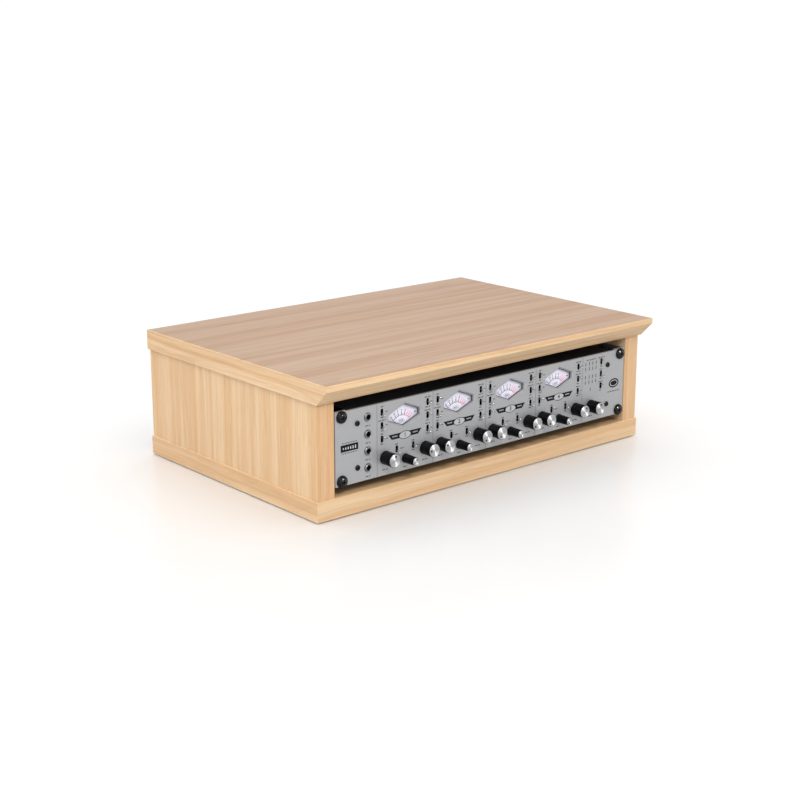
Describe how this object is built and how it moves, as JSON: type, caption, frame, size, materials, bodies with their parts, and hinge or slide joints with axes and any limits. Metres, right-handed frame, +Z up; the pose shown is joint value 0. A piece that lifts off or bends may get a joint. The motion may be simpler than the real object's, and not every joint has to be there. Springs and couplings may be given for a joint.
{
  "type": "rack compressor and preamplifier in desktop housing",
  "caption": "Two-unit rack compressor and microphone preamplifier with hexagonal needle meters, knobs and bat switches, bolted into a beech desktop housing.",
  "frame": {"origin": "on the surface it stands on, at the centre of the housing's footprint", "axes": "+X to the right seen from the front, +Y towards the rear, +Z up; the front panel faces -Y"},
  "size_m": [0.54, 0.37, 0.165],
  "materials": {
    "beech_laminate": "satin",
    "pad_rubber": "matte",
    "zinc_hardware": "satin",
    "black_steel": "satin",
    "black_hardware": "satin",
    "brushed_panel": "satin",
    "panel_print": "matte",
    "socket_black": "matte",
    "transformer": "satin",
    "circuit_board": "matte",
    "control_metal": "satin",
    "switch_black": "matte",
    "jack_metal": "gloss",
    "meter_case": "matte",
    "dial_white": "matte",
    "meter_glass": "gloss",
    "needle_black": "matte",
    "knob_black": "satin",
    "knob_cap": "gloss",
    "lever_chrome": "gloss"
  },
  "bodies": {
    "unit_in_housing": {"cabinet_top": "beech_laminate", "cabinet_base": "beech_laminate", "cabinet_side_left": "beech_laminate", "cabinet_side_right": "beech_laminate", "cabinet_screws": "zinc_hardware", "cam_locks": "zinc_hardware", "glide_pads": "pad_rubber", "rack_rails": "black_steel", "rail_screws": "zinc_hardware", "rack_screws": "black_hardware", "cup_washers": "black_hardware", "front_panel": "brushed_panel", "panel_screws": "black_hardware", "chassis_tray": "black_steel", "chassis_cover": "black_steel", "rear_panel": "black_steel", "rear_connectors": "socket_black", "power_inlet": "socket_black", "power_transformer": "transformer", "circuit_boards": "circuit_board", "potentiometers": "control_metal", "toggle_bodies": "switch_black", "jack_sockets": "jack_metal", "meter_cases": "meter_case", "meter_dials": "dial_white", "meter_windows": "meter_glass"},
    "knob_gain_ch1": {"knob_gain_ch1": "knob_black"},
    "knob_trim_ch1": {"knob_trim_ch1": "knob_black"},
    "knob_level_ch1": {"knob_level_ch1": "knob_black"},
    "knob_gain_ch2": {"knob_gain_ch2": "knob_black"},
    "knob_trim_ch2": {"knob_trim_ch2": "knob_black"},
    "knob_level_ch2": {"knob_level_ch2": "knob_black"},
    "knob_gain_ch3": {"knob_gain_ch3": "knob_black"},
    "knob_trim_ch3": {"knob_trim_ch3": "knob_black"},
    "knob_level_ch3": {"knob_level_ch3": "knob_black"},
    "knob_gain_ch4": {"knob_gain_ch4": "knob_black"},
    "knob_trim_ch4": {"knob_trim_ch4": "knob_black"},
    "knob_level_ch4": {"knob_level_ch4": "knob_black"},
    "knob_master": {"knob_master": "knob_black"},
    "levers_left_upper_ch1_ch3": {"levers_left_upper_ch1_ch3": "lever_chrome"},
    "levers_left_upper_ch2_ch4": {"levers_left_upper_ch2_ch4": "lever_chrome"},
    "levers_left_middle_ch1_ch2": {"levers_left_middle_ch1_ch2": "lever_chrome"},
    "levers_left_middle_ch3_ch4": {"levers_left_middle_ch3_ch4": "lever_chrome"},
    "levers_left_lower_ch1_ch2": {"levers_left_lower_ch1_ch2": "lever_chrome"},
    "levers_left_lower_ch3_ch4": {"levers_left_lower_ch3_ch4": "lever_chrome"},
    "levers_right_upper_all": {"levers_right_upper_all": "lever_chrome"},
    "levers_right_middle_ch1_ch2": {"levers_right_middle_ch1_ch2": "lever_chrome"},
    "levers_right_middle_ch3_ch4": {"levers_right_middle_ch3_ch4": "lever_chrome"},
    "levers_right_lower_ch1_ch2": {"levers_right_lower_ch1_ch2": "lever_chrome"},
    "levers_right_lower_ch3_ch4": {"levers_right_lower_ch3_ch4": "lever_chrome"},
    "levers_bottom_left_ch1_ch3": {"levers_bottom_left_ch1_ch3": "lever_chrome"},
    "levers_bottom_left_ch2_ch4": {"levers_bottom_left_ch2_ch4": "lever_chrome"},
    "levers_bottom_right_all": {"levers_bottom_right_all": "lever_chrome"},
    "lever_master_upper": {"lever_master_upper": "lever_chrome"},
    "lever_master_middle": {"lever_master_middle": "lever_chrome"},
    "lever_master_lower": {"lever_master_lower": "lever_chrome"},
    "meter_needle_ch1": {"meter_needle_ch1": "needle_black"},
    "meter_needle_ch2": {"meter_needle_ch2": "needle_black"},
    "meter_needle_ch3": {"meter_needle_ch3": "needle_black"},
    "meter_needle_ch4": {"meter_needle_ch4": "needle_black"}
  },
  "joints": [
    {"name": "knob_gain_ch1_turn", "type": "hinge", "parent": "unit_in_housing", "child": "knob_gain_ch1", "pos_m": [-0.1686, -0.1725, 0.0589], "axis": [0, 1, 0], "range_deg": [-165, 135]},
    {"name": "knob_trim_ch1_turn", "type": "hinge", "parent": "unit_in_housing", "child": "knob_trim_ch1", "pos_m": [-0.1381, -0.1725, 0.052], "axis": [0, 1, 0], "range_deg": [-196, 104]},
    {"name": "knob_level_ch1_turn", "type": "hinge", "parent": "unit_in_housing", "child": "knob_level_ch1", "pos_m": [-0.1076, -0.1725, 0.0589], "axis": [0, 1, 0], "range_deg": [-62, 238]},
    {"name": "knob_gain_ch2_turn", "type": "hinge", "parent": "unit_in_housing", "child": "knob_gain_ch2", "pos_m": [-0.08275, -0.1725, 0.0589], "axis": [0, 1, 0], "range_deg": [-90, 210]},
    {"name": "knob_trim_ch2_turn", "type": "hinge", "parent": "unit_in_housing", "child": "knob_trim_ch2", "pos_m": [-0.05225, -0.1725, 0.052], "axis": [0, 1, 0], "range_deg": [0, 300]},
    {"name": "knob_level_ch2_turn", "type": "hinge", "parent": "unit_in_housing", "child": "knob_level_ch2", "pos_m": [-0.02175, -0.1725, 0.0589], "axis": [0, 1, 0], "range_deg": [0, 300]},
    {"name": "knob_gain_ch3_turn", "type": "hinge", "parent": "unit_in_housing", "child": "knob_gain_ch3", "pos_m": [0.0031, -0.1725, 0.0589], "axis": [0, 1, 0], "range_deg": [0, 300]},
    {"name": "knob_trim_ch3_turn", "type": "hinge", "parent": "unit_in_housing", "child": "knob_trim_ch3", "pos_m": [0.0336, -0.1725, 0.052], "axis": [0, 1, 0], "range_deg": [0, 300]},
    {"name": "knob_level_ch3_turn", "type": "hinge", "parent": "unit_in_housing", "child": "knob_level_ch3", "pos_m": [0.0641, -0.1725, 0.0589], "axis": [0, 1, 0], "range_deg": [-20, 280]},
    {"name": "knob_gain_ch4_turn", "type": "hinge", "parent": "unit_in_housing", "child": "knob_gain_ch4", "pos_m": [0.08895, -0.1725, 0.0589], "axis": [0, 1, 0], "range_deg": [0, 300]},
    {"name": "knob_trim_ch4_turn", "type": "hinge", "parent": "unit_in_housing", "child": "knob_trim_ch4", "pos_m": [0.11945, -0.1725, 0.052], "axis": [0, 1, 0], "range_deg": [0, 300]},
    {"name": "knob_level_ch4_turn", "type": "hinge", "parent": "unit_in_housing", "child": "knob_level_ch4", "pos_m": [0.14995, -0.1725, 0.0589], "axis": [0, 1, 0], "range_deg": [-186, 114]},
    {"name": "knob_master_turn", "type": "hinge", "parent": "unit_in_housing", "child": "knob_master", "pos_m": [0.1788, -0.1725, 0.0578], "axis": [0, 1, 0], "range_deg": [-164, 136]},
    {"name": "levers_left_upper_ch1_ch3_throw", "type": "hinge", "parent": "unit_in_housing", "child": "levers_left_upper_ch1_ch3", "pos_m": [-0.1731, -0.1565, 0.1142], "axis": [1, 0, 0], "range_deg": [-28, 0]},
    {"name": "levers_left_upper_ch2_ch4_throw", "type": "hinge", "parent": "unit_in_housing", "child": "levers_left_upper_ch2_ch4", "pos_m": [-0.08725, -0.1565, 0.1142], "axis": [1, 0, 0], "range_deg": [0, 28]},
    {"name": "levers_left_middle_ch1_ch2_throw", "type": "hinge", "parent": "unit_in_housing", "child": "levers_left_middle_ch1_ch2", "pos_m": [-0.1731, -0.1565, 0.0981], "axis": [1, 0, 0], "range_deg": [-28, 0]},
    {"name": "levers_left_middle_ch3_ch4_throw", "type": "hinge", "parent": "unit_in_housing", "child": "levers_left_middle_ch3_ch4", "pos_m": [-0.0014, -0.1565, 0.0981], "axis": [1, 0, 0], "range_deg": [-28, 0]},
    {"name": "levers_left_lower_ch1_ch2_throw", "type": "hinge", "parent": "unit_in_housing", "child": "levers_left_lower_ch1_ch2", "pos_m": [-0.1731, -0.1565, 0.0819], "axis": [1, 0, 0], "range_deg": [0, 28]},
    {"name": "levers_left_lower_ch3_ch4_throw", "type": "hinge", "parent": "unit_in_housing", "child": "levers_left_lower_ch3_ch4", "pos_m": [-0.0014, -0.1565, 0.0819], "axis": [1, 0, 0], "range_deg": [0, 28]},
    {"name": "levers_right_upper_all_throw", "type": "hinge", "parent": "unit_in_housing", "child": "levers_right_upper_all", "pos_m": [-0.1031, -0.1565, 0.1142], "axis": [1, 0, 0], "range_deg": [-14, 14]},
    {"name": "levers_right_middle_ch1_ch2_throw", "type": "hinge", "parent": "unit_in_housing", "child": "levers_right_middle_ch1_ch2", "pos_m": [-0.1031, -0.1565, 0.0981], "axis": [1, 0, 0], "range_deg": [0, 28]},
    {"name": "levers_right_middle_ch3_ch4_throw", "type": "hinge", "parent": "unit_in_housing", "child": "levers_right_middle_ch3_ch4", "pos_m": [0.0686, -0.1565, 0.0981], "axis": [1, 0, 0], "range_deg": [0, 28]},
    {"name": "levers_right_lower_ch1_ch2_throw", "type": "hinge", "parent": "unit_in_housing", "child": "levers_right_lower_ch1_ch2", "pos_m": [-0.1031, -0.1565, 0.0819], "axis": [1, 0, 0], "range_deg": [-28, 0]},
    {"name": "levers_right_lower_ch3_ch4_throw", "type": "hinge", "parent": "unit_in_housing", "child": "levers_right_lower_ch3_ch4", "pos_m": [0.0686, -0.1565, 0.0819], "axis": [1, 0, 0], "range_deg": [-28, 0]},
    {"name": "levers_bottom_left_ch1_ch3_throw", "type": "hinge", "parent": "unit_in_housing", "child": "levers_bottom_left_ch1_ch3", "pos_m": [-0.1507, -0.1565, 0.0657], "axis": [1, 0, 0], "range_deg": [-28, 0]},
    {"name": "levers_bottom_left_ch2_ch4_throw", "type": "hinge", "parent": "unit_in_housing", "child": "levers_bottom_left_ch2_ch4", "pos_m": [-0.06485, -0.1565, 0.0657], "axis": [1, 0, 0], "range_deg": [0, 28]},
    {"name": "levers_bottom_right_all_throw", "type": "hinge", "parent": "unit_in_housing", "child": "levers_bottom_right_all", "pos_m": [-0.1255, -0.1565, 0.0657], "axis": [1, 0, 0], "range_deg": [-14, 14]},
    {"name": "lever_master_upper_throw", "type": "hinge", "parent": "unit_in_housing", "child": "lever_master_upper", "pos_m": [0.1975, -0.1565, 0.1142], "axis": [1, 0, 0], "range_deg": [0, 28]},
    {"name": "lever_master_middle_throw", "type": "hinge", "parent": "unit_in_housing", "child": "lever_master_middle", "pos_m": [0.1975, -0.1565, 0.0981], "axis": [1, 0, 0], "range_deg": [-28, 0]},
    {"name": "lever_master_lower_throw", "type": "hinge", "parent": "unit_in_housing", "child": "lever_master_lower", "pos_m": [0.1975, -0.1565, 0.0819], "axis": [1, 0, 0], "range_deg": [0, 28]},
    {"name": "meter_needle_ch1_swing", "type": "hinge", "parent": "unit_in_housing", "child": "meter_needle_ch1", "pos_m": [-0.1381, -0.1577, 0.0867], "axis": [0, 1, 0], "range_deg": [0, 92], "stiffness_Nm_per_rad": 0.0004},
    {"name": "meter_needle_ch2_swing", "type": "hinge", "parent": "unit_in_housing", "child": "meter_needle_ch2", "pos_m": [-0.05225, -0.1577, 0.0867], "axis": [0, 1, 0], "range_deg": [0, 92], "stiffness_Nm_per_rad": 0.0004},
    {"name": "meter_needle_ch3_swing", "type": "hinge", "parent": "unit_in_housing", "child": "meter_needle_ch3", "pos_m": [0.0336, -0.1577, 0.0867], "axis": [0, 1, 0], "range_deg": [0, 92], "stiffness_Nm_per_rad": 0.0004},
    {"name": "meter_needle_ch4_swing", "type": "hinge", "parent": "unit_in_housing", "child": "meter_needle_ch4", "pos_m": [0.11945, -0.1577, 0.0867], "axis": [0, 1, 0], "range_deg": [0, 92], "stiffness_Nm_per_rad": 0.0004}
  ]
}
